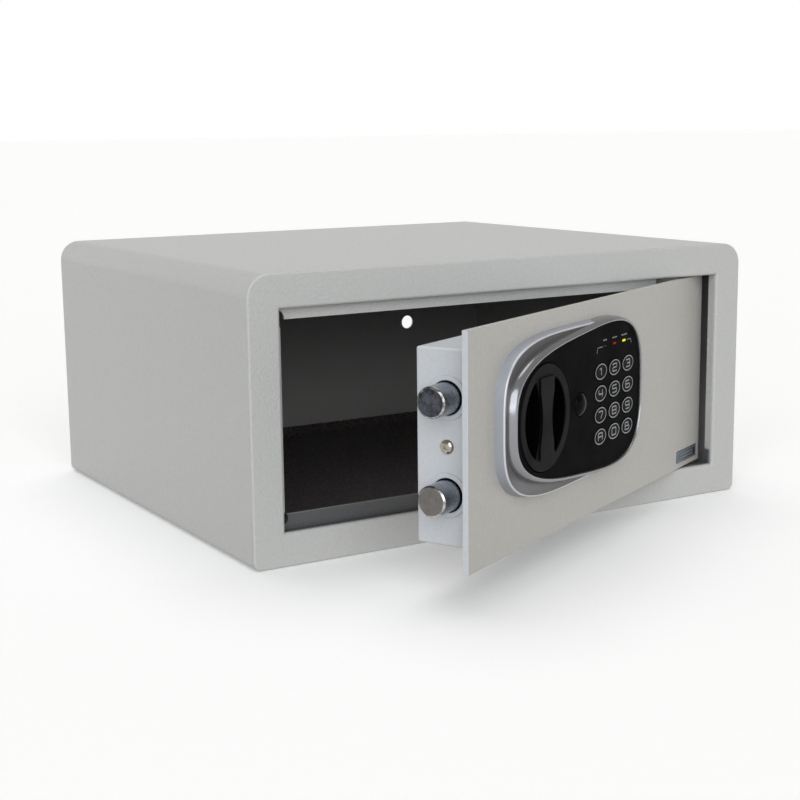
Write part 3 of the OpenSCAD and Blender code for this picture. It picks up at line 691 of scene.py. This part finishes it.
def build_bushes():
    """Flanged bushes around the bolts: a painted flange, with painted shade in the bore, counterbore and undercut,
    given the black case finish.
    """
    shaded_rows = (0, 1, 2, 9, 10, 11, 12)
    for node in ("bolt_bush_upper", "bolt_bush_lower"):
        low, high = shut_box(node)
        mid = shut_middle(node)
        flange = (high.z - low.z) / 2
        profile = [(10.05, 11.2), (10.05, 6), (10.95, 5.7), (10.95, 0.7), (11.2, 0.38), (11.4, 0.3),
                   (flange - 0.35, 0.3), (flange - 0.12, 0.36), (flange, 0.55), (flange, 0.75),
                   (flange - 0.35, 0.8), (flange - 0.35, 1.2), (12.5, 1.2), (12.5, 11.2)]
        mesh = lathe(profile, (low.x, mid.y, mid.z), X_AXIS, BOLT_POINTS, True)
        # Painted shade: the bore, counterbore and undercut rows take the black case finish.
        black = [i // BOLT_POINTS in shaded_rows for i in range(len(mesh.polygons))]
        paint_faces(make(node.replace("bolt_", ""), mesh, cover_coat, node), [black_case], black)


def pan_screw(x, y, z, out):
    """Domed head with a six-lobed recess, standing on a face whose outward direction is out."""
    head_r, head_h, rim_h = 4.6, 2.6, 0.35
    shank_r, shank_l = 2, 8
    lobes, lobe_points, depth = 6, 72, 1.5
    steps = 8
    profile = [(0, -shank_l), (shank_r - 0.4, -shank_l), (shank_r, -shank_l + 0.5), (shank_r, 0),
               (head_r, 0), (head_r, rim_h)]
    for i in range(1, steps + 1):
        a = math.pi / 2 * i / steps
        profile.append((head_r * math.cos(a), rim_h + (head_h - rim_h) * math.sin(a)))
    head = lathe(profile, (x, y, z), out, 64)
    radii = [head_r * (0.36 + 0.07 * math.cos(lobes * TAU * i / lobe_points)) for i in range(lobe_points)]
    recess = loft([ring_about((x, y, z), out, h, radii) for h in (head_h - depth, head_h + 1)])
    return carve(head, [recess])


def build_cover_screws():
    screws = [pan_screw(cover_low.x, bolt_y, screw_z, (-1, 0, 0)),
              pan_screw(cover_high.x, bolt_y, screw_z, X_AXIS)]
    make("side_screws", together(*screws), nickel, "cover_screws")


def build_badge():
    """Blank plate with a fine embossed border and two plain bands."""
    low, high = shut_box("badge_plate")
    base = slab([rounded_rect(low.x, high.x, low.z, high.z, 0.8, 4)], low.y + 0.12, high.y, 0.2)

    def inset(by, r):
        return rounded_rect(low.x + by, high.x - by, low.z + by, high.z - by, r, 3)

    print_back = low.y + 0.3
    border = slab([inset(0.9, 0.5), inset(1.3, 0.3)], low.y, print_back, 0.05, 1)
    margin = 0.18 * (high.x - low.x)
    bands = [cuboid(low.x + margin, high.x - margin, low.y + 0.02, print_back, z - 0.35, z + 0.35, 0.08)
             for z in ((low.z * 2 + high.z) / 3 + 0.3, (low.z + high.z * 2) / 3 - 0.3)]
    mesh = together(base, border, *bands)
    printed = [i >= len(base.polygons) for i in range(len(mesh.polygons))]
    paint_faces(make("badge", mesh, badge_grey, "badge_plate"), [legend], printed)


# -------- lock front

panel_low, panel_high = shut_box("fascia_panel")
panel_back = panel_low.y + 3
# Ovals of the panel and of the bezel's base: middle, half width, half height and squareness.
PANEL_A = (panel_high.x - panel_low.x) / 2
PANEL_X = (panel_high.x + panel_low.x) / 2
PANEL_Z = knob_mid.z
PANEL_B, PANEL_FLARE, PANEL_N = 47, 9, 3.3
BASE_A, BASE_B, BASE_N = 103.6, 53.6, 3.5
BASE_X = shut_box("lock_bezel")[0].x + BASE_A
PANEL_REBATE = -1.2     # how far the bezel reaches under the panel
LIP_W, LIP_SKEW = 4.0, 0.8      # the lip's mean width, and how much it varies to each side


def panel_ring(grow, height):
    """The panel's outline at a height over the door, drawn outward by grow."""
    outline = oval(PANEL_X, PANEL_Z, PANEL_A, PANEL_B, PANEL_N, PANEL_FLARE, grow)
    return [(x, plate_front - height, z) for x, z in outline]


def base_ring(height):
    """The base's outline at a height over the door."""
    outline = oval(BASE_X, PANEL_Z, BASE_A, BASE_B, BASE_N)
    return [(x, plate_front - height, z) for x, z in outline]


def build_bezel():
    """Silver step that follows one oval, and a raised lip that follows the panel's."""
    inner = panel_ring(PANEL_REBATE, 0)

    def step_ring(inset, height):
        """The step's outline moved inward, but never past the panel's hole."""
        ring = []
        for (x, y, z), (hole_x, _, hole_z) in zip(base_ring(height), inner):
            share = inset / math.hypot(hole_x - x, hole_z - z)
            share /= (1 + share ** 4) ** 0.25
            ring.append((x + (hole_x - x) * share, y, z + (hole_z - z) * share))
        return ring

    def reach(share):
        """Distance from the panel's edge: the lip is broad on the left and narrow on the right."""
        return lambda t: share * (LIP_W - LIP_SKEW * math.cos(t))

    # (inset, height) from the door up the wall, over the crest and along the step
    step = [(0, 0), (0.3, 2.0), (0.6, 4.0), (0.9, 6.0), (1.02, 6.5), (1.25, 6.82), (1.6, 6.95), (2.0, 6.9),
            (2.5, 6.65), (4, 6.0), (7, 5.1), (11, 4.4), (18, 4.0)]
    base = loft([step_ring(*point) for point in step] + [panel_ring(PANEL_REBATE, 4.0), inner], True)
    # (distance from the panel, height) up the outside of the lip, over it and down behind the panel
    lip = [(reach(1.0), 0), (reach(1.0), 4.0), (reach(0.97), 5.2), (reach(0.90), 6.6), (reach(0.79), 7.9),
           (reach(0.66), 9.0), (reach(0.52), 9.8), (reach(0.40), 10.25), (reach(0.30), 10.45),
           (reach(0.22), 10.5), (reach(0.15), 10.35), (reach(0.09), 9.9), (reach(0.06), 9.3), (0.15, 8.8),
           (0.15, 6), (PANEL_REBATE, 6), (PANEL_REBATE, 0.2)]
    raised = loft([panel_ring(grow, height) for grow, height in lip], True)
    mesh = together(base, raised)
    # Painted light: the wall is paler and bluer as lit, the crest bright as a painted highlight, the step face
    # dark as painted shade.
    wall_rows, crest_rows, step_rows = 3, 7, len(step) + 2
    rows = [i // OVAL_POINTS for i in range(len(mesh.polygons))]
    parts = [1 if row < wall_rows else 2 if row < crest_rows else 0 if row < step_rows else 3 for row in rows]
    bezel = make("bezel", mesh, bezel_face_shaded, "lock_bezel", angle=50)
    paint_faces(bezel, [bezel_wall_lit, bezel_crest_highlight, bezel_lip], parts)


key_centres = {n: shut_middle(n) for n in node_body if n.startswith("key_") and n != "key_membrane"}
KEY_W, KEY_H = 18.8, 11.6
KEY_GAP = 0.6           # between a key and its hole, both sides together
LEDS = ("led_green", "led_red", "led_yellow")
LED_TRIM = 0.5          # taken off a light's height above and below
LED_GAP = 0.15


def build_panel():
    """Black panel with holes for knob, cap, keys and lights, and a well behind it around the knob."""
    knob_hole_r, cap_hole_r, well_r, well_h = 35.5, 8.3, 37.5, 6
    holes = [circle(knob_mid.x, knob_mid.z, knob_hole_r, 128), circle(cap_mid.x, PANEL_Z, cap_hole_r, 64)]
    holes += [ellipse(c.x, c.z, KEY_W + KEY_GAP, KEY_H + KEY_GAP) for c in key_centres.values()]
    for node in LEDS:
        low, high = shut_box(node)
        holes.append(rounded_rect(low.x - LED_GAP, high.x + LED_GAP, low.z + LED_TRIM - LED_GAP,
                                  high.z - LED_TRIM + LED_GAP, 0.5, 3))
    outline = oval(PANEL_X, PANEL_Z, PANEL_A, PANEL_B, PANEL_N, PANEL_FLARE)
    panel = slab([outline, *holes], panel_low.y, panel_back, 0.3, 2)
    well = lathe([(well_r, 0), (well_r, well_h), (knob_hole_r, well_h), (knob_hole_r, 0)],
                 (knob_mid.x, panel_back - 0.2, knob_mid.z), Y_AXIS, 128, True)
    make("panel", together(panel, well), panel_black, "fascia_panel")


def stroke(points, width, y, lift=0.06):
    """Flat printed line with rounded corners through (x, z) points."""
    path = []
    for i, p in enumerate(points):
        p = Vector(p)
        if 0 < i < len(points) - 1:
            before, after = Vector(points[i - 1]), Vector(points[i + 1])
            r = min(width * 0.9, (before - p).length * 0.45, (after - p).length * 0.45)
            a, b = p + (before - p).normalized() * r, p + (after - p).normalized() * r
            path += [a.lerp(p, t).lerp(p.lerp(b, t), t) for t in (0, 0.25, 0.5, 0.75, 1)]
        else:
            path.append(p)
    curve = bpy.data.curves.new("stroke", "CURVE")
    curve.dimensions = "3D"
    curve.bevel_depth = width / 2
    curve.bevel_resolution = 2
    curve.use_fill_caps = True
    add_spline(curve, [(x, 0, z) for x, z in path])
    mesh = curve_mesh(curve)
    mesh.transform(Matrix.Translation((0, y, 0)) @ Matrix.Diagonal((1, lift / (width / 2), 1, 1)))
    return mesh


# Strokes of each character, on a grid GRID_W wide and GRID_H high.
GRID_W, GRID_H = 2, 4
GLYPHS = {
    "1": [[(0.35, 3.2), (1.15, 4), (1.15, 0)]],
    "2": [[(0, 3.2), (0, 4), (2, 4), (2, 2.1), (0, 1.9), (0, 0), (2, 0)]],
    "3": [[(0, 4), (2, 4), (2, 0), (0, 0)], [(0.6, 2), (2, 2)]],
    "4": [[(0, 4), (0, 1.7), (2, 1.7)], [(1.7, 4), (1.7, 0)]],
    "5": [[(2, 4), (0, 4), (0, 2.1), (2, 2.1), (2, 0), (0, 0)]],
    "6": [[(1.8, 4), (0, 4), (0, 0), (2, 0), (2, 2.1), (0, 2.1)]],
    "7": [[(0, 4), (2, 4), (2, 3.2), (1.1, 0)]],
    "8": [[(1, 0), (0, 0), (0, 4), (2, 4), (2, 0), (1, 0)], [(0, 2), (2, 2)]],
    "9": [[(2, 1.9), (0, 1.9), (0, 4), (2, 4), (2, 0), (0.2, 0)]],
    "0": [[(1, 0), (0, 0), (0, 4), (2, 4), (2, 0), (1, 0)]],
    "a": [[(0, 0), (0, 4), (2, 4), (2, 0)], [(0, 1.9), (2, 1.9)]],
    "b": [[(0, 0), (0, 4), (1.6, 4), (1.6, 2.1)], [(0, 2.1), (2, 2.1), (2, 0), (0, 0)]],
}
GLYPH_W, GLYPH_H = 6.6, 5.0
RING_W = 1.5            # both sides of a key's ring together


def build_keys():
    """Each key is a black oval, with its ring and character as raised print."""
    for node, centre in key_centres.items():
        top = shut_box(node)[0].y
        flange_y = panel_back + 0.05

        def outline(grow):
            return ellipse(centre.x, centre.z, KEY_W + grow, KEY_H + grow)

        button = slab([outline(0)], top, flange_y + 0.4, 0.3, 2)
        flange = slab([outline(2.6)], flange_y, flange_y + 0.8, 0.15, 1)
        make(node.replace("key_", "button_"), together(button, flange), key_black, node)
        lines = [slab([outline(-0.6), outline(-0.6 - RING_W)], top - 0.05, top + 0.1, 0.04, 1)]
        for line in GLYPHS[node[-1]]:
            points = [(centre.x + (u / GRID_W - 0.5) * GLYPH_W, centre.z + (v / GRID_H - 0.5) * GLYPH_H)
                      for u, v in line]
            lines.append(stroke(points, 0.9, top))
        mark = make(node.replace("key_", "legend_"), together(*lines), legend, body=node)


def build_lights():
    finishes = dict(zip(LEDS, (led_green, led_red, led_yellow)))
    for node in LEDS:
        low, high = shut_box(node)
        outline = rounded_rect(low.x, high.x, low.z + LED_TRIM, high.z - LED_TRIM, 0.4, 4)
        make(node.replace("led_", "light_"), slab([outline], low.y, high.y, 0.3, 2), finishes[node], node)


def build_panel_print():
    """Corner lines beside the lights and a row of plain dashes over each."""
    y, lift = panel_low.y, 0.04
    pitch, half_dash, above = 1.9, 0.6, 4.2
    green, red, yellow = [shut_middle(n) for n in LEDS]
    lines = [[(green.x - 12.7, green.z - 3.8), (green.x - 11.5, green.z), (green.x - 4, green.z)],
             [(yellow.x + 5, yellow.z), (yellow.x + 11.3, yellow.z), (yellow.x + 12.6, yellow.z - 3.2)]]
    meshes = [stroke(line, 0.5, y, lift) for line in lines]
    for centre, count in ((green, 3), (red, 4), (yellow, 5)):
        for i in range(count):
            x, z = centre.x + (i - (count - 1) / 2) * pitch, centre.z + above
            meshes.append(stroke([(x - half_dash, z), (x + half_dash, z)], 1.0, y, lift))
    mark = make("panel_print", together(*meshes), legend, body="door")


def build_knob():
    """Disc with two finger pockets and a waisted grip bar that stands a little proud.

    Each pocket lies between a circle about the knob's middle and an arc of the grip's flank, whose
    centre is arc_x out to the side."""
    proud, depth = 1.2, 8
    arc_r, arc_x, pocket_r = 51, 58, 28.4
    half, reach = 9.9, 26.8     # the grip's half width and half height
    around = 144
    r = (knob_high.x - knob_low.x) / 2
    x, z = knob_mid.x, knob_mid.z
    face = knob_low.y + proud
    floor = face + depth
    tip_x = (arc_x ** 2 - arc_r ** 2 + pocket_r ** 2) / (2 * arc_x)
    tip_z = math.sqrt(pocket_r ** 2 - tip_x ** 2)

    def pocket(side, steps=32):
        points = []
        outer = math.atan2(tip_z, tip_x)
        inner = math.atan2(tip_z, arc_x - tip_x)
        for i in range(steps + 1):
            a = outer * (1 - 2 * i / steps)
            points.append((x + side * pocket_r * math.cos(a), z + pocket_r * math.sin(a)))
        for i in range(1, steps):
            a = -inner + 2 * inner * i / steps
            points.append((x + side * (arc_x - arc_r * math.cos(a)), z + arc_r * math.sin(a)))
        return points

    disc = slab([circle(x, z, r, around), pocket(1), pocket(-1)], face, floor + 1, 0.7, 3)
    rim = [(0, 0), (r - 0.4, 0), (r, 0.4), (r, 1.3), (0, 1.3)]
    base = lathe(rim, (x, knob_high.y, z), (0, -1, 0), around)
    edge = []
    flank_steps = 24
    for i in range(flank_steps + 1):
        v = reach - 2 * reach * i / flank_steps
        edge.append((min(half, arc_x - math.sqrt(arc_r ** 2 - v ** 2)) - 0.2, v))
    outline = [(x + u, z + v) for u, v in edge] + [(x - u, z + v) for u, v in reversed(edge)]
    bar = slab([outline], knob_low.y, face + 1.5, 0.45, 3)
    mesh = carve(carve(disc, [base], "UNION"), [bar], "UNION")

    def in_pocket(polygon):
        """Whether a face belongs to the pockets or to the grip's flanks."""
        out, up, y = polygon.center.x - x, polygon.center.z - z, polygon.center.y
        flank = abs(polygon.normal.y) < 0.3 and abs(out) < half + 0.5 and abs(up) < reach - 1
        return math.hypot(out, up) < pocket_r + 1 and (y > face + 1 or flank)

    # Painted shade: the pockets and the grip's flanks in them take a near-black finish, as shade in the hollows.
    deep = [in_pocket(p) for p in mesh.polygons]
    paint_faces(make("turn_knob", mesh, knob_black, "knob", angle=40), [pocket_shade], deep)


def build_cap():
    """Plug with a domed face that starts at the panel's."""
    low, high = cap_low, cap_high
    r = (high.x - low.x) / 2
    face = panel_low.y
    rise = face - low.y
    dome = (r * r + rise * rise) / (2 * rise)
    profile = [(0, 0), (r - 0.3, 0), (r, 0.3), (r, high.y - face - 0.05)]
    steps = 12
    for i in range(steps + 1):
        a = math.asin(r / dome) * (1 - i / steps)
        profile.append((dome * math.sin(a), high.y - face + dome * math.cos(a) - (dome - rise)))
    mesh = lathe(profile, (cap_mid.x, high.y, cap_mid.z), (0, -1, 0), 96)
    make("lock_cap", mesh, cap_black, "override_cap", angle=60)


# -------- back of the lock cover

def build_battery_lid():
    """Lid with grip ribs and a spigot for the opening. Its plate stays just clear of the cover."""
    clear = 0.1
    low, high = shut_box("battery_cover")
    rear = cover_high.y + clear
    lid = slab([rounded_rect(low.x, high.x, low.z, high.z, 3, 6)], rear, high.y - 0.3, 0.4, 3)
    ribs, rib_pitch, rib_half = 5, 4, 0.8
    grip = []
    for i in range(ribs):
        z = (low.z + high.z) / 2 + (i - ribs // 2) * rib_pitch
        grip.append(cuboid(low.x + 8, low.x + 26, high.y - 0.5, high.y, z - rib_half, z + rib_half, 0.25))
    inset = 5.3
    spigot = cuboid(low.x + inset, high.x - inset, low.y, rear + 0.3, low.z + inset, high.z - inset, 0.4)
    make("battery_lid", together(lid, spigot, *grip), black_case, "battery_cover")


def build_cells():
    """Four cells side by side, every other one turned round."""
    count, radius = 4, 7.25
    body = [(0, 0), (6.2, 0), (radius - 0.2, 0.3), (radius, 0.8), (radius, 47.4), (radius - 0.4, 48.1),
            (5.2, 48.3), (0, 48.3)]
    tip = [(0, 48.2), (2.7, 48.2), (2.7, 49.6), (2.4, 49.9), (0, 49.9)]
    low, high = shut_box("battery_cells")
    y = (low.y + high.y) / 2
    cells, ends = [], []
    for i in range(count):
        z = low.z + radius + i * (high.z - low.z - 2 * radius) / (count - 1)
        side = 1 if i % 2 else -1
        start = low.x if side > 0 else high.x
        cells.append(lathe(body, (start, y, z), (side, 0, 0), 48))
        ends.append(lathe(tip, (start, y, z), (side, 0, 0), 32))
    make("cells", together(*cells), cell_wrap, "battery_cells")
    tips = make("cell_tips", together(*ends), zinc, body="door")


def build_reset():
    stem = [(0, 0), (3.9, 0), (4, 0.2), (4, 2), (5.5, 2), (5.5, 3.9), (4, 3.9), (4, 5.7), (3.7, 6.15),
            (2.5, 6.3), (0, 6.3)]
    mid = shut_middle("reset_button")
    start = shut_box("reset_button")[0].y
    make("reset", lathe(stem, (mid.x, start, mid.z), Y_AXIS, 64), button_red, "reset_button")


def finish_cad_nodes():
    """Materials for the CAD nodes that show as they are."""
    finishes = dict(cabinet_paint=body_coat, door_paint=door_coat, bush_plastic=nylon,
                    bush_painted=cover_coat, zinc_steel=zinc, bolt_chrome=bolt_plate, brass=brass,
                    silicone=rubber, circuit_green=board_green, component_black=black_case,
                    wire_insulation=insulation)
    for name, node in frame["nodes"].items():
        finish = finishes.get(node_slot[name])
        if finish is None or node.hide_render:
            continue
        for entry in node.material_slots:
            entry.material = finish


# -------- studio

# Name, direction towards the lamp, strength, spread in degrees and tint.
SUNS = [("softbox", (-0.45, -0.81, 0.36), 2.05, 62, (0.95, 1.0, 1.055)),
        ("overhead", (0.1, 0.3, 1), 1.0, 46, (1, 0.997, 0.98))]
# Brightness and tint of the surround below and above its white band.
UNDER, OVER = 0.40, 0.33
WARM = (1.03, 1.0, 0.945)
FLOOR_HALF = 40         # metres
FLOOR_GLOW = 0.13


def build_studio():
    """Soft key from the front left and above, over a gentle surround that is white at the horizon."""
    bpy.context.scene.view_settings.view_transform = "Standard"
    world = bpy.data.worlds.new("studio")
    world.use_nodes = True
    tree = world.node_tree
    height = add_node(tree, "SeparateXYZ", Vector=add_node(tree, "TexCoord").outputs["Generated"])
    shift = add_node(tree, "MapRange", From_Min=-1, From_Max=1, Value=height.outputs["Z"])
    ramp = add_node(tree, "ValToRGB", Fac=shift.outputs["Result"])
    # from straight down at 0 to straight up at 1
    stops = [(0.0, UNDER), (0.485, UNDER), (0.495, 1.0), (0.56, 1.0), (0.68, OVER), (1.0, OVER)]
    while len(ramp.color_ramp.elements) < len(stops):
        ramp.color_ramp.elements.new(0.5)
    for element, (position, value) in zip(ramp.color_ramp.elements, stops):
        element.position = position
        tone = WARM if value < 1 else (1, 1, 1)
        element.color = (*(value * c for c in tone), 1)
    tree.links.new(ramp.outputs["Color"], tree.nodes["Background"].inputs["Color"])
    bpy.context.scene.world = world
    for name, direction, power, spread, tone in SUNS:
        data = bpy.data.lights.new(name, "SUN")
        data.energy = power
        data.angle = math.radians(spread)
        data.color = tone
        lamp = new_object(name, data)
        lamp.rotation_mode = "QUATERNION"
        lamp.rotation_quaternion = Vector(direction).to_track_quat("Z", "Y")
    floor_mesh = bpy.data.meshes.new("floor")
    corners = [(sx * FLOOR_HALF, sy * FLOOR_HALF, 0) for sx, sy in ((-1, -1), (1, -1), (1, 1), (-1, 1))]
    floor_mesh.from_pydata(corners, [], [(0, 1, 2, 3)])
    floor = new_object("floor", floor_mesh)
    floor.visible_diffuse = False
    paper = Nodes("paper", (0.93, 0.93, 0.93), 0.95, Specular_IOR_Level=0.1)
    paper.bump(paper.noise(200, 2), 0.02)
    paper.shader.inputs["Emission Color"].default_value = (1, 1, 1, 1)
    paper.shader.inputs["Emission Strength"].default_value = FLOOR_GLOW
    floor_mesh.materials.append(paper.material)


EYE = (-0.6314, -1.0723, 0.2937)
YAW, PITCH, ROLL = 30.92, 10.28, 0.66   # degrees to the right, down and clockwise
FOCAL_MM, SENSOR_MM = 67.94, 36


def build_camera():
    """Eye a little above the safe, to the left of its front."""
    yaw, pitch, roll = math.radians(YAW), math.radians(PITCH), math.radians(ROLL)
    ahead = Vector((math.sin(yaw) * math.cos(pitch), math.cos(yaw) * math.cos(pitch), -math.sin(pitch)))
    level = Vector((math.cos(yaw), -math.sin(yaw), 0))
    below = ahead.cross(level)
    right = level * math.cos(roll) + below * math.sin(roll)
    down = below * math.cos(roll) - level * math.sin(roll)
    data = bpy.data.cameras.new("camera")
    data.sensor_width = SENSOR_MM
    data.lens = FOCAL_MM
    data.clip_start, data.clip_end = 0.05, 60
    camera = new_object("camera", data)
    turn = Matrix((right, -down, -ahead)).transposed().to_4x4()
    camera.matrix_world = Matrix.Translation(EYE) @ turn
    bpy.context.scene.camera = camera


build_camera()
build_studio()
build_shell()
build_back()
build_front()
build_mat()
build_plate()
build_cover()
build_bolts()
build_bushes()
build_cover_screws()
build_badge()
build_bezel()
build_panel()
build_panel_print()
build_keys()
build_lights()
build_knob()
build_cap()
build_battery_lid()
build_cells()
build_reset()
finish_cad_nodes()
